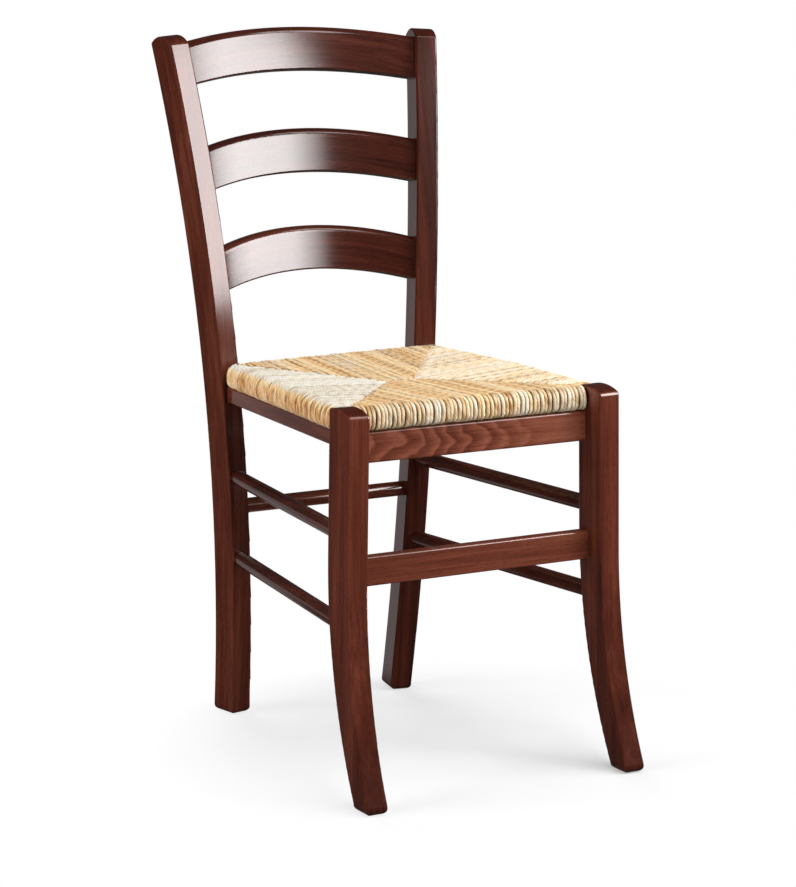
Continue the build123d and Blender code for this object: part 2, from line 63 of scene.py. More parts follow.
def make_camera():
    data = bpy.data.cameras.new("camera")
    data.sensor_fit = "HORIZONTAL"
    data.sensor_width = SENSOR
    data.lens = FOCAL_PIXELS / PHOTO_WIDTH * SENSOR
    data.clip_end = FARTHEST
    camera = bpy.data.objects.new("camera", data)
    scene.collection.objects.link(camera)
    ahead = Vector((
        math.sin(CAMERA_TURN) * math.cos(CAMERA_FALL),
        math.cos(CAMERA_TURN) * math.cos(CAMERA_FALL),
        -math.sin(CAMERA_FALL),
    ))
    camera.location = CAMERA_PLACE
    camera.rotation_euler = ahead.to_track_quat("-Z", "Y").to_euler()
    scene.camera = camera


make_camera()


# node helpers
NOISE_MIDDLE = 0.5
WHITE = (1.0, 1.0, 1.0, 1.0)


class Tree:
    """A short way to write a node tree. A value is a number, a colour or another node's output."""

    def __init__(self, owner):
        owner.use_nodes = True
        self.tree = owner.node_tree
        self.tree.nodes.clear()

    def node(self, kind, **settings):
        made = self.tree.nodes.new(kind)
        for key, value in settings.items():
            setattr(made, key, value)
        return made

    def feed(self, socket, value):
        """Give an input a value."""
        if isinstance(value, bpy.types.NodeSocket):
            self.tree.links.new(value, socket)
        else:
            socket.default_value = value

    def put(self, made, **inputs):
        """Give a node's inputs, by name, their values."""
        for key, value in inputs.items():
            self.feed(made.inputs[key.replace("_", " ")], value)
        return made

    def place(self):
        """Where a point lies in its object's own frame, which is the chair's on every piece."""
        return self.node("ShaderNodeTexCoord").outputs["Object"]

    def split(self, vector):
        """X, Y and Z of a vector."""
        return self.put(self.node("ShaderNodeSeparateXYZ"), Vector=vector).outputs

    def math(self, operation, a, b=0.0):
        made = self.node("ShaderNodeMath", operation=operation)
        self.feed(made.inputs[0], a)
        self.feed(made.inputs[1], b)
        return made.outputs[0]

    def add(self, a, b):
        return self.math("ADD", a, b)

    def minus(self, a, b):
        return self.math("SUBTRACT", a, b)

    def times(self, a, b):
        return self.math("MULTIPLY", a, b)

    def total(self, *terms):
        """Sum of values, each times its weight."""
        result = 0.0
        for value, weight in terms:
            result = self.add(result, self.times(value, weight))
        return result

    def vector(self, operation, a, b):
        made = self.node("ShaderNodeVectorMath", operation=operation)
        self.feed(made.inputs[0], a)
        self.feed(made.inputs[1], b)
        return made.outputs["Value" if operation in ("DOT_PRODUCT", "DISTANCE") else "Vector"]

    def scale(self, vector, factor):
        made = self.node("ShaderNodeVectorMath", operation="SCALE")
        self.feed(made.inputs[0], vector)
        self.feed(made.inputs["Scale"], factor)
        return made.outputs["Vector"]

    def noise(self, place, scales, detail, roughness=0.5, distortion=0.0):
        """Noise with a scale of its own in each direction."""
        made = self.put(
            self.node("ShaderNodeTexNoise"), Vector=self.vector("MULTIPLY", place, scales), Scale=1.0,
            Detail=detail, Roughness=roughness, Distortion=distortion,
        )
        return made.outputs["Fac"]

    def ramp(self, value, places, colours):
        """Colours that stand at places from 0 to 1."""
        made = self.node("ShaderNodeValToRGB")
        elements = made.color_ramp.elements
        while len(elements) < len(places):
            elements.new(0.5)
        for element, place, colour in zip(elements, places, colours):
            element.position = place
            element.color = (*colour, 1.0)
        self.feed(made.inputs["Fac"], value)
        return made.outputs["Color"]

    def spread(self, value, low, high, to_low=0.0, to_high=1.0):
        """A value between low and high, spread between to_low and to_high and held there beyond them."""
        made = self.node("ShaderNodeMapRange", clamp=True)
        self.put(made, Value=value, From_Min=low, From_Max=high, To_Min=to_low, To_Max=to_high)
        return made.outputs["Result"]

    def mix(self, factor, a, b):
        """Colour a where the factor is 0, and b where it is 1."""
        made = self.node("ShaderNodeMix", data_type="RGBA")
        for name, kind, value in (("Factor", "VALUE", factor), ("A", "RGBA", a), ("B", "RGBA", b)):
            socket = next(s for s in made.inputs if s.name == name and s.type == kind)
            self.feed(socket, (*value, 1.0) if isinstance(value, tuple) else value)
        return next(s for s in made.outputs if s.type == "RGBA")

    def bump(self, height, strength, distance):
        made = self.put(self.node("ShaderNodeBump"), Height=height, Strength=strength, Distance=distance)
        return made.outputs["Normal"]

    def show(self, shader, kind="ShaderNodeOutputMaterial"):
        """Make a shader the surface."""
        self.put(self.node(kind), Surface=shader.outputs[0])

    def surface(self, colour, roughness, normal, **fixed):
        shader = self.node("ShaderNodeBsdfPrincipled")
        self.show(self.put(shader, Base_Color=colour, Roughness=roughness, Normal=normal, **fixed))


# stained wood, with the stain's colours in the dark, the middle and the light grain
STAIN = ((0.026, 0.0052, 0.0032), (0.096, 0.0205, 0.0105), (0.200, 0.0520, 0.0275))
STAIN_LEFT_POST = ((0.021, 0.0041, 0.0025), (0.074, 0.0155, 0.0079), (0.155, 0.0400, 0.0210))
STAIN_BACK = ((0.013, 0.0026, 0.0016), (0.046, 0.0094, 0.0050), (0.100, 0.0245, 0.0130))  # slats, right post; the right post's darker colour than the left post's is painted shade
STAIN_RUNG = ((0.014, 0.0028, 0.0018), (0.046, 0.0095, 0.0052), (0.105, 0.0260, 0.0140))
STAIN_STRETCHER = ((0.045, 0.0100, 0.0062), (0.135, 0.0330, 0.0175), (0.250, 0.0740, 0.0420))
STAIN_FRONT_RAIL = ((0.070, 0.0170, 0.0100), (0.180, 0.0500, 0.0270), (0.300, 0.1000, 0.0590))
STAIN_WORN = (0.290, 0.1000, 0.0600)
STAIN_END = (0.040, 0.0058, 0.0036)
TONE_PLACES = (0.28, 0.50, 0.74)         # values of the grain at which the three colours stand

# layers of grain: their scales along the wood and across it, and the noise that makes them
Grain = namedtuple("Grain", "along across detail roughness distortion")
CLOUDS = Grain(3.0, 16.0, detail=2.0, roughness=0.55, distortion=0.0)
BANDS = Grain(2.2, 95.0, detail=4.0, roughness=0.60, distortion=0.35)
LINES = Grain(9.0, 520.0, detail=3.0, roughness=0.60, distortion=0.0)
FLECKS = Grain(120.0, 1500.0, detail=1.0, roughness=0.55, distortion=0.0)
CLOUD_WEIGHT, BAND_WEIGHT, LINE_WEIGHT = 0.45, 0.55, 0.30
GRAIN_STEP = (0.731, 0.317, 0.553)       # from one piece's place in the grain to the next one's

PORES = (0.60, 0.72)                     # flecks over this range grow into pores
PORE_DARK = 0.65
FOOT_SHADE = 0.55                         # share of the darkest colour at the floor, painted shade
END_FACING = (0.72, 0.95)                # range of how squarely a face lies across the grain
END_SOAK = 0.85                          # share of the end grain's stain there
EDGE_RADIUS = 1.6 * MM                   # width of a rubbed edge
EDGE_SAMPLES = 4
EDGE_TURN = (0.03, 0.20)                 # range of how sharply an edge turns
RUB_CLOUDS = (0.35, 0.65)                # clouds over this range make the rubbing uneven
RUB_UNEVEN = (0.15, 0.75)
RUB_SHARE = 0.55
LACQUER_ROUGHNESS = (0.09, 0.21)
LINE_RELIEF, PORE_RELIEF = 0.6, 0.5
WOOD_BUMP, WOOD_DEPTH = 0.06, 0.10 * MM
LACQUER, POST_LACQUER = 0.50, 0.38       # how strongly the lacquer mirrors

# arched grain of the front rail
ARCH_LENGTH = 0.027                      # from one arch to the next
ARCH_NOSE = 0.03                         # roundness of an arch's point
ARCH_SLOPE = 0.75                        # how far an arch runs on from its point to the board's edge
ARCH_WANDER = {"scales": (14.0, 14.0, 20.0), "detail": 2.0}
ARCH_RIPPLE = {"scales": (60.0, 60.0, 170.0), "detail": 2.0}
ARCH_ASIDE, ARCH_SHIFT = 0.9, 2.6        # how far the arches wander across and along the board
RIPPLE_SHIFT = 0.45
ARCH_GROWTH = 1.4                        # power with which an arch grows lighter along its length
ARCH_END = (0.80, 1.0)                   # range of its length in which it falls back to dark
ARCH_WEIGHT, ARCH_GROUND = 0.34, 0.70
PLAIN_FROM, PLAIN_FADE = 0.075, 0.05     # where the arches have half run out, and half of that stretch


def stretch(axis, along, across):
    """One number along an axis and another across it, as X, Y and Z."""
    return tuple(along if letter == axis else across for letter in "xyz")


def streaks(t, place, axis, grain):
    """Noise that is drawn out along an axis."""
    scales = stretch(axis, grain.along, grain.across)
    return t.noise(place, scales, grain.detail, grain.roughness, grain.distortion)


def follow_bend(t, place, axis, middle, fall):
    """Places that a bend moves, so that the grain follows it."""
    off = t.minus(t.split(place)["xyz".index(axis)], middle)
    return t.vector("ADD", place, t.scale(fall, t.times(off, off)))


def arches(t, place, value, seed, middle_z, half_z):
    """Nested points of flat-sawn grain along X, about a board's middle line.

    They run out into plain grain at the right.
    """
    apart = t.split(place)
    wander = t.noise(place, **ARCH_WANDER)
    ripple = t.noise(place, **ARCH_RIPPLE)
    off = t.math("DIVIDE", t.minus(apart["Z"], middle_z + seed * GRAIN_STEP[2]), half_z)
    off = t.add(off, t.times(t.minus(wander, NOISE_MIDDLE), ARCH_ASIDE))
    nose = t.math("SQRT", t.add(t.times(off, off), ARCH_NOSE))
    along = t.math("DIVIDE", apart["X"], ARCH_LENGTH)
    shift = t.total((nose, ARCH_SLOPE), (wander, ARCH_SHIFT), (ripple, RIPPLE_SHIFT))
    ring = t.math("FRACT", t.add(along, shift))
    ring = t.times(t.math("POWER", ring, ARCH_GROWTH), t.spread(ring, *ARCH_END, 1.0, 0.0))
    plain_x = PLAIN_FROM + seed * GRAIN_STEP[0]
    here = t.spread(apart["X"], plain_x - PLAIN_FADE, plain_x + PLAIN_FADE, 1.0, 0.0)
    figured = t.total((value, ARCH_GROUND), (ring, ARCH_WEIGHT))
    return t.add(t.times(figured, here), t.times(value, t.minus(1.0, here)))


def stained_wood(name, axis, seed, tones=STAIN, bend=None, figure=None, foot_shade=None, lacquer=LACQUER):
    """Dark stained and lacquered beech. Its grain runs along an axis and follows a bent piece.

    bend gives the place of the bend's middle along the axis, and how the other directions fall off
    with the square of the distance from it.
    figure gives the middle and half the height of a board whose flat-sawn grain stands in arches.
    The height given for the foot is the one below which painted shade darkens the wood towards the floor.
    """
    material = bpy.data.materials.new(name)
    t = Tree(material)
    place = t.place()
    if bend:
        place = follow_bend(t, place, axis, *bend)
    place = t.vector("ADD", place, tuple(seed * step for step in GRAIN_STEP))
    layers = (CLOUDS, BANDS, LINES, FLECKS)
    clouds, bands, lines, flecks = [streaks(t, place, axis, grain) for grain in layers]

    value = t.total((clouds, CLOUD_WEIGHT), (bands, BAND_WEIGHT))
    if figure:
        value = arches(t, place, value, seed, *figure)
    value = t.add(value, t.times(t.minus(lines, NOISE_MIDDLE), LINE_WEIGHT))
    colour = t.ramp(value, TONE_PLACES, tones)
    pores = t.spread(flecks, *PORES)
    colour = t.mix(t.times(pores, PORE_DARK), colour, tones[0])
    # painted shade: the wood grows darker towards the floor
    if foot_shade:
        above_floor = t.split(t.place())["Z"]
        colour = t.mix(t.spread(above_floor, 0.0, foot_shade, FOOT_SHADE, 0.0), colour, tones[0])

    # end grain, which drinks more stain
    flat = t.node("ShaderNodeNewGeometry").outputs["Normal"]
    facing = t.math("ABSOLUTE", t.vector("DOT_PRODUCT", flat, stretch(axis, 1.0, 0.0)))
    colour = t.mix(t.spread(facing, *END_FACING, 0.0, END_SOAK), colour, STAIN_END)

    # rubbed edges, where the stain is thinner
    rounded = t.put(t.node("ShaderNodeBevel", samples=EDGE_SAMPLES), Radius=EDGE_RADIUS)
    turn = t.minus(1.0, t.vector("DOT_PRODUCT", rounded.outputs[0], flat))
    rub = t.times(t.spread(turn, *EDGE_TURN), t.spread(clouds, *RUB_CLOUDS, *RUB_UNEVEN))
    colour = t.mix(t.times(rub, RUB_SHARE), colour, STAIN_WORN)

    roughness = t.spread(lines, 0.0, 1.0, *LACQUER_ROUGHNESS)
    height = t.total((lines, LINE_RELIEF), (pores, -PORE_RELIEF))
    t.surface(colour, roughness, t.bump(height, WOOD_BUMP, WOOD_DEPTH), Specular_IOR_Level=lacquer)
    return material


def dress(node, material):
    """Put a material on a CAD node."""
    slots = nodes[node].data.materials
    for place in range(len(slots)):
        slots[place] = material


POST_WAIST = 0.318                       # height of the middle of the posts' bend
POST_RADIUS = 2.120
POST_BEND = (POST_WAIST, (0.0, -1 / (2 * POST_RADIUS), 0.0))
SLAT_BOW, SLAT_ARCH = 0.0305, 0.0225     # how far a slat's middle lies behind and above its ends
SLAT_HALVES = {"lower_slat": 0.1404, "middle_slat": 0.1511, "top_slat": 0.1641}   # half their spans
LEG_SHADE_HEIGHT = 0.28                   # up to which painted shade darkens the front legs


def dress_sides():
    """Posts, front legs, side rails and rungs. Each pair of pieces has two seeds in a row."""
    # the right post is darker than the left one as painted shade, though both are the same stained wood
    post_tones = {"left": STAIN_LEFT_POST, "right": STAIN_BACK}
    for other, (side, tones) in enumerate(post_tones.items()):
        dress(f"rear_post_{side}", stained_wood(
            f"wood_post_{side}", "z", 1 + other, tones, bend=POST_BEND, lacquer=POST_LACQUER))
        dress(f"front_leg_{side}", stained_wood(f"wood_leg_{side}", "z", 3 + other, foot_shade=LEG_SHADE_HEIGHT))
        dress(f"{side}_seat_rail", stained_wood(f"wood_seat_rail_{side}", "y", 5 + other))
        dress(f"{side}_upper_rung", stained_wood(f"wood_upper_rung_{side}", "y", 7 + other, STAIN_RUNG))
        dress(f"{side}_lower_rung", stained_wood(f"wood_lower_rung_{side}", "y", 9 + other, STAIN_RUNG))


def dress_slats():
    for seed, (slat, half) in enumerate(SLAT_HALVES.items(), start=11):
        fall = (0.0, SLAT_BOW / half ** 2, SLAT_ARCH / half ** 2)
        dress(slat, stained_wood(f"wood_{slat}", "x", seed, STAIN_BACK, bend=(0.0, fall)))


def dress_cross_pieces():
    """Pieces that run from the left to the right, apart from the slats."""
    low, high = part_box("front_seat_rail")
    figure = ((low.z + high.z) / 2, (high.z - low.z) / 2)
    dress("front_seat_rail", stained_wood("wood_front_rail", "x", 14, STAIN_FRONT_RAIL, figure=figure))
    dress("front_stretcher", stained_wood("wood_front_stretcher", "x", 15, STAIN_STRETCHER))
    dress("rear_seat_rail", stained_wood("wood_rear_rail", "x", 16))
    dress("rear_rung", stained_wood("wood_rear_rung", "x", 17))


dress_sides()
dress_slats()
dress_cross_pieces()

# hidden pieces of the seat
BARE_BEECH = ((0.25, 0.13, 0.060), (0.42, 0.25, 0.130))
BARE_PORE = (0.16, 0.075, 0.032)
BARE_GRAIN = Grain(6.0, 240.0, detail=4.0, roughness=0.60, distortion=0.0)
BARE_FLECKS = Grain(110.0, 900.0, detail=1.0, roughness=0.50, distortion=0.0)
BARE_STEP = (0.37, 0.61, 0.23)           # from one bar's place in the grain to the next one's
BARE_PORES, BARE_PORE_DARK = (0.6, 0.7), 0.5
BARE_ROUGHNESS = (0.55, 0.75)
STRAW = ((0.085, 0.045, 0.015), (0.34, 0.21, 0.080), (0.52, 0.36, 0.16))
STRAW_PLACES = (0.42, 0.60, 0.75)
STRAW_SCALES = ((30.0, 420.0, 420.0), (380.0, 40.0, 380.0))
STRAW_NOISE = {"detail": 3.0, "roughness": 0.6, "distortion": 0.8}
STRAW_RANGE, STRAW_ROUGHNESS = (0.4, 0.8), (0.65, 0.85)
ZINC = ((0.42, 0.41, 0.37), (0.62, 0.61, 0.57))
ZINC_MARKS = (300.0, 300.0, 4000.0)
ZINC_RANGE, ZINC_ROUGHNESS = (0.2, 0.8), (0.25, 0.42)
TWO_TONE_PLACES = (0.3, 0.7)


def bare_wood(name, axis, seed):
    """Unfinished beech of the bars that the rush is wound on."""
    material = bpy.data.materials.new(name)
    t = Tree(material)
    place = t.vector("ADD", t.place(), tuple(seed * step for step in BARE_STEP))
    grain = streaks(t, place, axis, BARE_GRAIN)
    pores = t.spread(streaks(t, place, axis, BARE_FLECKS), *BARE_PORES)
    colour = t.ramp(grain, TWO_TONE_PLACES, BARE_BEECH)
    colour = t.mix(t.times(pores, BARE_PORE_DARK), colour, BARE_PORE)
    roughness = t.spread(grain, 0.0, 1.0, *BARE_ROUGHNESS)
    t.surface(colour, roughness, t.bump(grain, strength=0.3, distance=0.3 * MM), Specular_IOR_Level=0.3)
    return material


def packed_straw(name):
    """Loose rush packed between the two webs, with stalks that lie along X and along Y."""
    material = bpy.data.materials.new(name)
    t = Tree(material)
    one, two = [t.noise(t.place(), scales, **STRAW_NOISE) for scales in STRAW_SCALES]
    stalks = t.math("MAXIMUM", one, two)
    colour = t.ramp(stalks, STRAW_PLACES, STRAW)
    roughness = t.spread(stalks, *STRAW_RANGE, *STRAW_ROUGHNESS)
    t.surface(colour, roughness, t.bump(stalks, strength=0.8, distance=1.5 * MM), Specular_IOR_Level=0.2)
    return material


def screw_metal(name):
    """Zinc plated steel with fine turning marks."""
    material = bpy.data.materials.new(name)
    t = Tree(material)
    marks = t.noise(t.place(), ZINC_MARKS, detail=2.0)
    colour = t.ramp(marks, TWO_TONE_PLACES, ZINC)
    roughness = t.spread(marks, *ZINC_RANGE, *ZINC_ROUGHNESS)
    t.surface(colour, roughness, t.bump(marks, strength=0.15, distance=0.1 * MM), Metallic=1.0)
    return material


for seed, (bar, axis) in enumerate({"front": "x", "rear": "x", "left": "y", "right": "y"}.items(), start=1):
    dress(f"rush_frame_{bar}_bar", bare_wood(f"bare_beech_{bar}", axis, seed))
dress("seat_stuffing", packed_straw("rush_stuffing"))
dress("seat_screws", screw_metal("screw_steel"))

# woven rush, in the space of the plain seat
seat_low, seat_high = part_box("rush_seat")
FRONT_EDGE, REAR_EDGE = seat_low.y, seat_high.y
SEAT_BOTTOM, SEAT_TOP = seat_low.z, seat_high.z
SEAT_DEPTH = REAR_EDGE - FRONT_EDGE
MIDDLE = (FRONT_EDGE + REAR_EDGE) / 2
FRONT_HALF, REAR_HALF = 0.185, 0.154     # half the width at the front and the rear edge
TOP_ROUND, BOTTOM_ROUND = 0.014, 0.009   # rounding of the rolled edges
CORNER_ROUND = 0.018                     # rounding of the rear corners, seen from above
NOTCH_X, NOTCH_Y = 0.1560, -0.1836       # corner of the rush behind each front leg
DISH = 0.009                             # how far the middle lies below the front and rear rims
RIDGE_HALF = 0.018                       # half the line in the middle where the front and rear webs meet
FULLNESS = 0.005                         # how far the weave swells above the solid at its highest
SWELL_FROM, SWELL_FULL = 0.045, 0.495    # shares of the depth where it starts to swell and is full

# cords
CORD = 0.00280                           # half the width of a twisted cord
PITCH = 0.0055                           # from cord to cord on the front and rear webs
SIDE_PITCH = PITCH * 1.03                # a little looser on the left and right webs
SIDES = 10                               # corners of a cord's section
TWIST = 0.017                            # length of one full turn of the twist
LOBE_LOW, LOBE_RISE = 0.82, 0.20         # shares of its radius between its leaves, and added on a leaf
SWAY, SWAY_LENGTH = 0.55 * MM, 0.011     # how far a cord sways aside, and the length of one radian of it
SEAM_SHADE = 0.0085                      # length of a cord's end in a seam that painted shade darkens
ZIGZAG = 0.0013                          # how far every other cord stops short of a seam or passes it
DIVE = 0.0060                            # bend of a cord where it goes down at a seam
DIVE_SHARE = 0.3                         # the most of a short cord that the bend takes
DIVE_TURN = math.radians(80.0)           # how far that bend turns
QUARTER = math.radians(90.0)
UNDER_STEP, TOP_STEP = 0.012, 0.0026     # from point to point below the seat and on its top
UNDER_BENDS, TOP_BENDS = 3, 4            # steps of the bends at the seam, below and on the top
BOTTOM_BENDS, ROLL_BENDS = 4, 10         # steps of the bends round the bar's lower and upper edge
FAN = 6                                  # gaps in the fan of cords round a rear corner
FAN_REACH = CORNER_ROUND * 0.95          # just short of the middle of the rounding

# how much cords differ
REACH_DIFFERS = 1.2 * MM
WIDE_RANGE, THICK_RANGE, TWIST_RANGE = (0.86, 1.06), (0.84, 0.98), (0.75, 1.3)
FADE_DIFFERS = 0.22
LIFT_DIFFERS = 0.40 * MM
ASIDE_DIFFERS = 0.55 * MM

# how light in colour a web is on its roll and on its top, below 0 where it turns brownish, and how far in
# from the edge it starts and ends to turn from one to the other: partly the rush's own colour and partly
# painted light and shade
Shade = namedtuple("Shade", "roll top start end")
FRONT_SHADE = Shade(roll=0.45, top=0.06, start=0.006, end=0.022)
REAR_SHADE = Shade(roll=0.40, top=0.10, start=0.006, end=0.022)
LEFT_SHADE = Shade(roll=-0.75, top=1.05, start=0.001, end=0.009)
RIGHT_SHADE = Shade(roll=0.25, top=0.55, start=0.006, end=0.022)


def clamp(share):
    """A share, held between 0 and 1."""
    return min(1.0, max(0.0, share))


def differ(most):
    """A random difference, up or down."""
    return draw.uniform(-most, most)


SLANT = (REAR_HALF - FRONT_HALF) / SEAT_DEPTH


def half_width(y):
    return FRONT_HALF + SLANT * (y - FRONT_EDGE)


CORNER_Y = REAR_EDGE - CORNER_ROUND
CORNER_X = half_width(CORNER_Y) - CORNER_ROUND * math.hypot(1.0, SLANT)
FRONT_SEAM = (NOTCH_X, NOTCH_Y)          # outer ends of the seams
REAR_SEAM = (CORNER_X, CORNER_Y)


def seam_depth(x, seam):
    """Depth of a seam at a distance from the middle of the chair."""
    share = max(0.0, (abs(x) - RIDGE_HALF) / (seam[0] - RIDGE_HALF))
    return MIDDLE + share * (seam[1] - MIDDLE)


def seam_side(y):
    """Distance of the seam from the middle of the chair at a depth."""
    seam = FRONT_SEAM if y < MIDDLE else REAR_SEAM
    return RIDGE_HALF + (y - MIDDLE) / (seam[1] - MIDDLE) * (seam[0] - RIDGE_HALF)


def dish_fall(y):
    """How far the top lies below the rim at a depth, on the front or the rear slope."""
    rim = FRONT_EDGE + TOP_ROUND if y < MIDDLE else REAR_EDGE - TOP_ROUND
    return DISH * clamp((y - rim) / (MIDDLE - rim))


def swell(x, y):
    """How far the top swells at a place: most at the back right, not at all at the front or the left edge."""
    across = clamp((x / half_width(y) + 1.0) / 2)
    along = clamp(((y - FRONT_EDGE) / SEAT_DEPTH - SWELL_FROM) / (SWELL_FULL - SWELL_FROM))
    return FULLNESS * math.sqrt(across) * along * along * (3.0 - 2.0 * along)


def sweep(turn, steps):
    """Angles from 0 to a turn in equal steps."""
    return [turn * step / steps for step in range(steps + 1)]


def between(length, step):
    """Shares of a straight length, about a step apart, without its two ends."""
    count = max(2, int(length / step))
    return [place / count for place in range(1, count)]


def cord_path(reach, fall, thick):
    """Points along a cord: distance in from the edge, height, and 1 on the top or 0 below.

    A cord comes down out of the seam below the seat, runs under the bar to the edge, goes round the bar's
    outside and back over the top into the seam.
    """
    low, high = SEAT_BOTTOM + thick, SEAT_TOP - thick
    bend = min(DIVE, reach * DIVE_SHARE)
    inner_end = reach - bend
    path = []
    for a in reversed(sweep(DIVE_TURN, UNDER_BENDS)):
        path.append((inner_end + bend * math.sin(a), low + bend * (1 - math.cos(a)), 0.0))
    straight = inner_end - BOTTOM_ROUND
    for share in between(straight, UNDER_STEP):
        path.append((inner_end - straight * share, low, 0.0))
    bottom_z, inner = SEAT_BOTTOM + BOTTOM_ROUND, BOTTOM_ROUND - thick
    for a in sweep(QUARTER, BOTTOM_BENDS):
        path.append((BOTTOM_ROUND - inner * math.sin(a), bottom_z - inner * math.cos(a), 0.0))
    roll_z, inner = SEAT_TOP - TOP_ROUND, TOP_ROUND - thick
    path.append((thick, (bottom_z + roll_z) / 2, 0.0))
    for a in sweep(QUARTER, ROLL_BENDS):
        path.append((TOP_ROUND - inner * math.cos(a), roll_z + inner * math.sin(a), math.sin(a)))
    straight = inner_end - TOP_ROUND
    for share in between(straight, TOP_STEP):
        path.append((TOP_ROUND + straight * share, high - fall * share, 1.0))
    for a in sweep(DIVE_TURN, TOP_BENDS):
        path.append((inner_end + bend * math.sin(a), high - fall - bend * (1 - math.cos(a)), 1.0))
    return np.array(path)


class Web:
    """Twisted cords that are gathered into one mesh, with what the rush's material needs at each point.

    tone differs from cord to cord, run is the length along a cord, the groove layer is 1 where painted shade
    darkens the sides and underside of a cord and its end in a seam, the pale layer is how light in colour the
    rush is there, partly its own colour and partly painted light and shade, and twist is the cosine of the
    angle round the twisted cord.
    """

    LAYERS = ("tone", "run", "groove_shade", "pale_and_lit", "twist")

    def __init__(self):
        self.points, self.faces = [], []
        self.values = {label: [] for label in self.LAYERS}
        self.count = 0

    def cord(self, edge, inward, reach, fall, shade):
        """One cord, from a point on the seat's edge inwards to a seam, over and under the bar."""
        reach = reach + differ(REACH_DIFFERS)
        wide = CORD * draw.uniform(*WIDE_RANGE)
        thick = CORD * draw.uniform(*THICK_RANGE)
        path = cord_path(reach, fall, thick)
        phase, wave = draw.uniform(0, math.tau), draw.uniform(0, math.tau)
        tone = draw.random()
        fade = differ(FADE_DIFFERS)
        lift = differ(LIFT_DIFFERS)
        aside = differ(ASIDE_DIFFERS)
        pitch = TWIST * draw.uniform(*TWIST_RANGE)

        start = np.array((edge[0], edge[1], 0.0))
        ahead = np.array((inward[0], inward[1], 0.0))
        side = np.array((inward[1], -inward[0], 0.0))
        up = np.array((0.0, 0.0, 1.0))
        steps = np.diff(path[:, :2], axis=0)
        lengths = np.concatenate(([0.0], np.cumsum(np.hypot(steps[:, 0], steps[:, 1]))))
        tangent = np.gradient(path[:, :2], lengths, axis=0)
        tangent /= np.linalg.norm(tangent, axis=1)[:, None]
        angles = np.arange(SIDES) * math.tau / SIDES
        for (inset, height, top), (inwards, upwards), length in zip(path, tangent, lengths):
            out = up * inwards - ahead * upwards
            sway = aside + SWAY * math.sin(length / SWAY_LENGTH + wave)
            centre = start + ahead * inset + side * sway
            height = height + top * swell(centre[0], centre[1])
            centre = centre + up * height + out * lift
            twist = np.cos(angles - phase - math.tau * length / pitch)
            lobes = LOBE_LOW + LOBE_RISE * np.abs(2 * twist ** 2 - 1)
            across = np.outer(np.cos(angles) * lobes * wide, side)
            outwards = np.outer(np.sin(angles) * lobes * thick, out)
            self.points.append(centre + across + outwards)
            # painted shade: a cord's sides and underside, and its end where it goes down into a seam, are
            # darker
            groove_shade = np.clip(1.0 - np.sin(angles), 0.0, 1.0)
            groove_shade = np.maximum(groove_shade, 1.0 - (lengths[-1] - length) / SEAM_SHADE)
            turned = clamp((inset - shade.start) / (shade.end - shade.start))
            # partly the rush's own colour and partly painted light and shade: lighter on the lit tops of the
            # side webs and on the front and rear rolls, browner on the shaded left roll
            pale_and_lit = shade.roll + (shade.top - shade.roll) * turned + fade
            for label, value in zip(self.LAYERS, (tone, length, groove_shade, pale_and_lit, twist)):
                self.values[label].append(np.broadcast_to(value, SIDES))
        self.skin(len(path))

    def skin(self, rings):
        """Faces over a cord's rings of points, with a cap at each end."""
        first = self.count
        last = first + (rings - 1) * SIDES
        for ring in range(first, last, SIDES):
            for column in range(SIDES):
                after = (column + 1) % SIDES
                self.faces.append((ring + column, ring + after, ring + SIDES + after, ring + SIDES + column))
        self.faces.append(tuple(first + column for column in reversed(range(SIDES))))
        self.faces.append(tuple(last + column for column in range(SIDES)))
        self.count = last + SIDES

    def build(self, name, material):
        mesh = bpy.data.meshes.new(name)
        mesh.from_pydata(np.concatenate(self.points).tolist(), [], self.faces)
        for label, values in self.values.items():
            layer = mesh.attributes.new(label, "FLOAT", "POINT")
            layer.data.foreach_set("value", np.concatenate(values).astype(np.float32))
        mesh.polygons.foreach_set("use_smooth", [True] * len(mesh.polygons))
        mesh.update()
        mesh.materials.append(material)
        web = bpy.data.objects.new(name, mesh)
        scene.collection.objects.link(web)
        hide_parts("rush_seat")
        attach(web, "root")


# colours of golden, creamy and brownish rush, at four places from its dark to its light, partly painted light
# and shade
RUSH_PLACES = (0.18, 0.38, 0.60, 0.85)
GOLDEN = ((0.430, 0.215, 0.066), (0.720, 0.458, 0.185), (0.840, 0.592, 0.288), (0.870, 0.725, 0.455))
CREAM_AND_SHEEN = ((0.400, 0.300, 0.180), (0.580, 0.525, 0.415), (0.665, 0.640, 0.560), (0.740, 0.735, 0.695))
BROWN_AND_SHADE = ((0.340, 0.130, 0.045), (0.600, 0.270, 0.115), (0.800, 0.430, 0.210), (0.860, 0.620, 0.390))
PALE_RANGE, BROWN_RANGE = (0.0, 1.0), (-0.8, 0.0)
LEAF_CREASE_SHADE = (0.280, 0.130, 0.040)        # painted shade in the crease between two leaves of a cord
CREASE_SHADE_RANGE, CREASE_SHADE_SHARE = (0.0, 0.45), 0.52
GROOVE_SHADE = (0.140, 0.058, 0.016)           # painted shade between two cords
GROOVE_SHADE_RANGE, GROOVE_SHADE_SHARE = (0.30, 1.0), 0.86
RUSH_STREAK = {"scales": (42.0, 91.0, 1.6), "detail": 4.0, "roughness": 0.6}
RUSH_CLOUD = {"scales": (26.0, 26.0, 26.0), "detail": 2.0}
RUSH_FIBRE = {"scales": (900.0, 900.0, 900.0), "detail": 2.0}
TONE_WEIGHT, STREAK_WEIGHT, TWIST_WEIGHT, PALE_CLOUDS = 0.48, 0.54, 0.13, 0.9
LEAF_RELIEF, FIBRE_RELIEF = 1.2, 0.4
RUSH_BUMP, RUSH_DEPTH = 0.40, 0.40 * MM
STREAK_RANGE, RUSH_ROUGHNESS = (0.2, 0.8), (0.46, 0.66)


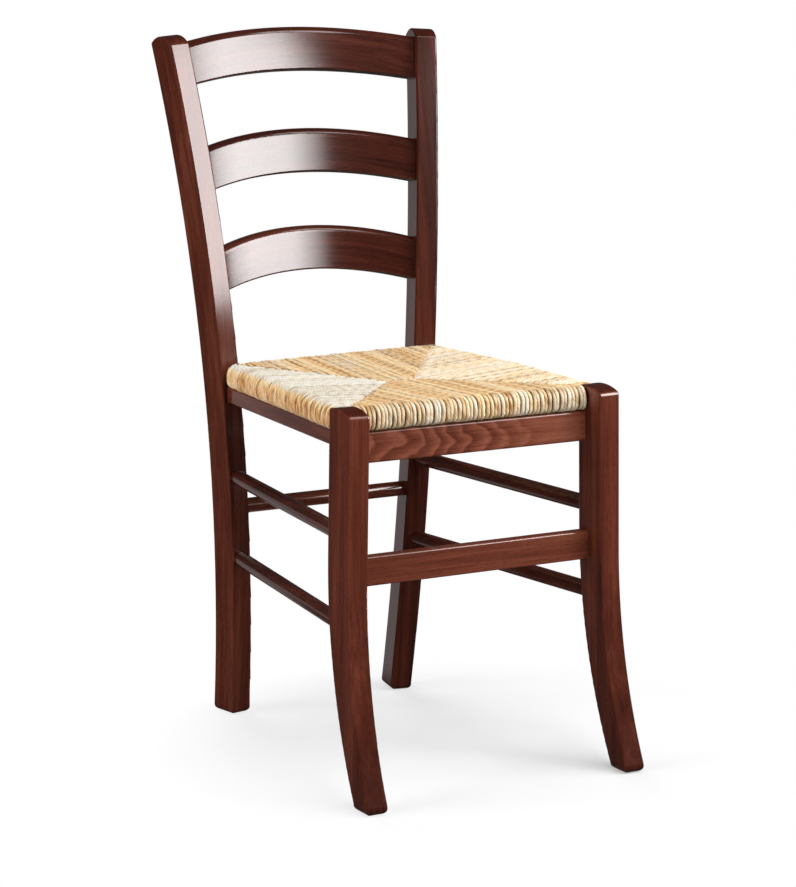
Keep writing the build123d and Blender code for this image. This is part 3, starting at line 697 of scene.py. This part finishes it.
def rush_material():
    """Twisted rush: golden and creamy leaves, streaked along their length, with painted shade in the grooves
    and the creases between leaves, and painted light and shade in how light in colour they are.
    """
    material = bpy.data.materials.new("rush")
    t = Tree(material)
    layers = [t.node("ShaderNodeAttribute", attribute_name=label) for label in Web.LAYERS]
    tone, run, groove_shade, pale_and_lit, twist = [layer.outputs["Fac"] for layer in layers]
    on_cord = t.put(t.node("ShaderNodeCombineXYZ"), X=run, Y=tone, Z=twist)
    streak = t.noise(on_cord.outputs[0], **RUSH_STREAK)
    place = t.place()
    cloud = t.noise(place, **RUSH_CLOUD)
    fibre = t.noise(place, **RUSH_FIBRE)

    # four leaves are twisted together, with painted shade as a thin dark line in the crease between two of
    # them
    leaf = t.math("ABSOLUTE", t.minus(t.times(t.times(twist, twist), 2.0), 1.0))
    crease_shade = t.spread(leaf, *CREASE_SHADE_RANGE, 1.0, 0.0)

    value = t.total((tone, TONE_WEIGHT), (streak, STREAK_WEIGHT), (twist, TWIST_WEIGHT))
    golden, cream_and_sheen, brown_and_shade = [t.ramp(value, RUSH_PLACES, colours) for colours in (GOLDEN, CREAM_AND_SHEEN, BROWN_AND_SHADE)]
    # painted light and shade, with the rush's own colour: how creamy or brownish the rush turns
    paleness_and_light = t.add(pale_and_lit, t.times(t.minus(cloud, NOISE_MIDDLE), PALE_CLOUDS))
    colour = t.mix(t.spread(paleness_and_light, *PALE_RANGE), golden, cream_and_sheen)
    colour = t.mix(t.spread(paleness_and_light, *BROWN_RANGE, 1.0, 0.0), colour, brown_and_shade)
    # painted shade along the crease between leaves
    colour = t.mix(t.times(crease_shade, CREASE_SHADE_SHARE), colour, LEAF_CREASE_SHADE)
    # painted shade in the grooves between cords
    colour = t.mix(t.times(t.spread(groove_shade, *GROOVE_SHADE_RANGE), GROOVE_SHADE_SHARE), colour, GROOVE_SHADE)
    height = t.total((leaf, LEAF_RELIEF), (streak, 1.0), (fibre, FIBRE_RELIEF))
    t.surface(
        colour, t.spread(streak, *STREAK_RANGE, *RUSH_ROUGHNESS), t.bump(height, RUSH_BUMP, RUSH_DEPTH),
        Specular_IOR_Level=0.30, Sheen_Weight=0.12, Sheen_Roughness=0.4,
    )
    return material


RUSH = rush_material()


def spaced(first, last, pitch):
    """Places from first to last, about a pitch apart."""
    count = max(1, round((last - first) / pitch))
    return [first + (last - first) * step / count for step in range(count + 1)]


def weave_across(name, edge_y, inward, seam, reach_x, shade):
    """Front or rear web, whose cords run from the edge to the seams and the ridge."""
    web = Web()
    for count, x in enumerate(spaced(-reach_x, reach_x, PITCH)):
        depth = seam_depth(x, seam)
        reach = abs(depth - edge_y) + ZIGZAG * (-1) ** count
        web.cord((x, edge_y), (0.0, inward), reach, dish_fall(depth), shade)
    web.build(name, RUSH)


def weave_side(name, sign, shade):
    """Left or right web, with a fan of cords round the rounded rear corner."""
    web = Web()
    for count, y in enumerate(spaced(NOTCH_Y + CORD, CORNER_Y, SIDE_PITCH)):
        edge = half_width(y)
        reach = edge - max(RIDGE_HALF, seam_side(y)) + ZIGZAG * (-1) ** count
        web.cord((sign * edge, y), (-sign, 0.0), reach, dish_fall(y), shade)
    for a in sweep(QUARTER, FAN)[1:-1]:
        edge = (sign * (CORNER_X + CORNER_ROUND * math.cos(a)), CORNER_Y + CORNER_ROUND * math.sin(a))
        web.cord(edge, (-sign * math.cos(a), -math.sin(a)), FAN_REACH, 0.0, shade)
    web.build(name, RUSH)


weave_across("rush_front", FRONT_EDGE, 1.0, FRONT_SEAM, NOTCH_X - CORD, FRONT_SHADE)
weave_across("rush_rear", REAR_EDGE, -1.0, REAR_SEAM, CORNER_X, REAR_SHADE)
weave_side("rush_left", -1.0, LEFT_SHADE)
weave_side("rush_right", 1.0, RIGHT_SHADE)

# floor, world and lights
ROOM_LIGHT = 0.22
FLOOR_HALF = 30.0
FLOOR_DROP = 0.0003                      # just clear of the feet
FLOOR_GREY = (0.45, 0.45, 0.45)          # what the floor throws back
FLOOR_SEEN = (0.71, 0.715, 0.72)         # what the camera sees of it near the chair
SHADOW_MIDDLE = (0.09, -0.08, 0.0)
SHADOW_FADE = (0.10, 0.42)               # distances over which the floor turns to plain white

# what the lacquer mirrors: a dim room, with the white of a backdrop low down behind the chair
MIRRORED_ROOM, MIRRORED_BACK = 0.05, 0.42
BACK_SIDES = (0.34, 0.50)                # range, aside for each metre back, in which the white ends
BACK_LEAST = 0.01                        # keeps the division by the way back from 0
BACK_FLOOR = (0.15, 0.35)                # depths between which the floor behind the chair turns white
BACK_RISE = (0.0, 0.07)                  # range of the way's rise in which the white ends above
BACK_AHEAD = (0.2, 0.6)                  # range of how squarely the way leads back


def backdrop(t, way, share):
    """Brightness of what the lacquer mirrors, with a share of the white straight behind the chair."""
    aside = t.math("DIVIDE", t.math("ABSOLUTE", way["X"]), t.math("MAXIMUM", way["Y"], BACK_LEAST))
    share = t.times(share, t.spread(aside, *BACK_SIDES, 1.0, 0.0))
    return t.add(MIRRORED_ROOM, t.times(share, MIRRORED_BACK - MIRRORED_ROOM))


def light_path(t):
    """1 on what the camera sees, and 1 on what a surface mirrors or lets through."""
    path = t.node("ShaderNodeLightPath").outputs
    return path["Is Camera Ray"], t.math("MAXIMUM", path["Is Glossy Ray"], path["Is Transmission Ray"])


def flat_panel(name, left, right, low, high, material):
    """A rectangle in its own X and Y."""
    mesh = bpy.data.meshes.new(name)
    corners = [(left, low, 0), (right, low, 0), (right, high, 0), (left, high, 0)]
    mesh.from_pydata(corners, [], [(0, 1, 2, 3)])
    mesh.materials.append(material)
    panel = bpy.data.objects.new(name, mesh)
    scene.collection.objects.link(panel)
    return panel


def make_floor():
    """A white floor that keeps the chair's shadow and runs out to plain white."""
    material = bpy.data.materials.new("floor_white")
    t = Tree(material)
    place = t.place()
    apart = t.split(place)
    seen, mirrored = light_path(t)
    near = t.put(t.node("ShaderNodeBsdfDiffuse"), Color=t.mix(seen, FLOOR_GREY, FLOOR_SEEN))
    white_level = backdrop(t, apart, t.spread(apart["Y"], *BACK_FLOOR))
    strength = t.add(seen, t.times(mirrored, white_level))
    white = t.put(t.node("ShaderNodeEmission"), Color=WHITE, Strength=strength)
    far = t.times(t.spread(t.vector("DISTANCE", place, SHADOW_MIDDLE), *SHADOW_FADE), seen)
    both = t.node("ShaderNodeMixShader")
    t.feed(both.inputs[0], t.math("MAXIMUM", far, mirrored))
    t.feed(both.inputs[1], near.outputs[0])
    t.feed(both.inputs[2], white.outputs[0])
    t.show(both)
    floor = flat_panel("floor", -FLOOR_HALF, FLOOR_HALF, -FLOOR_HALF, FLOOR_HALF, material)
    floor.location.z = -FLOOR_DROP


def make_world():
    """White behind the chair, an even room light, and the mirrored room."""
    world = bpy.data.worlds.new("studio")
    scene.world = world
    t = Tree(world)
    seen, mirrored = light_path(t)
    way = t.split(t.node("ShaderNodeTexCoord").outputs["Generated"])
    low_down = t.spread(way["Z"], *BACK_RISE, 1.0, 0.0)
    white_level = backdrop(t, way, t.times(low_down, t.spread(way["Y"], *BACK_AHEAD)))
    strength = t.add(t.times(mirrored, t.minus(white_level, ROOM_LIGHT)), ROOM_LIGHT)
    strength = t.math("MAXIMUM", strength, seen)
    background = t.put(t.node("ShaderNodeBackground"), Color=WHITE, Strength=strength)
    t.show(background, "ShaderNodeOutputWorld")


Lamp = namedtuple("Lamp", "place target size power")
LAMPS = {
    "light_front": Lamp((0.60, -1.90, 2.20), (0.0, 0.0, 0.50), size=(2.4, 2.0), power=72.0),
    "light_right": Lamp((1.60, -1.00, 1.35), (0.0, 0.1, 0.65), size=(1.4, 1.2), power=24.0),
    "light_left": Lamp((-2.50, 0.30, 1.35), (0.0, 0.0, 0.45), size=(1.6, 1.6), power=50.0),
    "light_back": Lamp((0.30, 2.60, 1.80), (0.0, 0.0, 0.55), size=(2.0, 1.5), power=40.0),
}
SOFTBOX_ABOVE = Lamp((0.90, -1.13, 2.30), (0.0, 0.0, 0.60), size=(0.8, 0.4), power=8.0)


def soft_light(name, place, target, size, power, glossy=True, diffuse=True):
    """An area lamp that the camera doesn't see."""
    data = bpy.data.lights.new(name, "AREA")
    data.shape = "RECTANGLE"
    data.size, data.size_y = size
    data.energy = power
    lamp = bpy.data.objects.new(name, data)
    lamp.location = place
    lamp.rotation_euler = (Vector(target) - Vector(place)).to_track_quat("-Z", "Y").to_euler()
    lamp.visible_glossy = glossy
    lamp.visible_diffuse = diffuse
    lamp.visible_camera = False
    scene.collection.objects.link(lamp)


SOFTBOX_DIM, SOFTBOX_DIM_LEVEL = 0.35, 0.55   # width of a softbox's dimmer right end, and its level


def softbox(name, place, target, sides, height, level, fade):
    """A glowing panel that only the lacquer mirrors, as a lamp with a cloth front.

    sides are its ends to the left and the right of its middle, and fade gives where its left part starts
    to glow and where it is full.
    """
    left, right = sides
    material = bpy.data.materials.new(name)
    t = Tree(material)
    aside = t.split(t.place())["X"]
    dimmed = t.spread(aside, right - SOFTBOX_DIM, right, 1.0, SOFTBOX_DIM_LEVEL)
    strength = t.times(t.times(t.spread(aside, *fade), dimmed), level)
    t.show(t.put(t.node("ShaderNodeEmission"), Color=WHITE, Strength=strength))
    panel = flat_panel(name, left, right, -height / 2, height / 2, material)
    panel.location = place
    panel.rotation_euler = (Vector(place) - Vector(target)).to_track_quat("Z", "Y").to_euler()
    panel.visible_camera = panel.visible_diffuse = panel.visible_shadow = panel.visible_transmission = False


make_floor()
make_world()
for name, lamp in LAMPS.items():
    soft_light(name, *lamp, glossy=False)
soft_light("softbox_above", *SOFTBOX_ABOVE, diffuse=False)
softbox(
    "softbox_right", place=(1.00, -0.785, 1.04), target=(0.0, 0.23, 1.04), sides=(-0.71, 0.58), height=0.90,
    level=18.0, fade=(-0.71, -0.30),
)
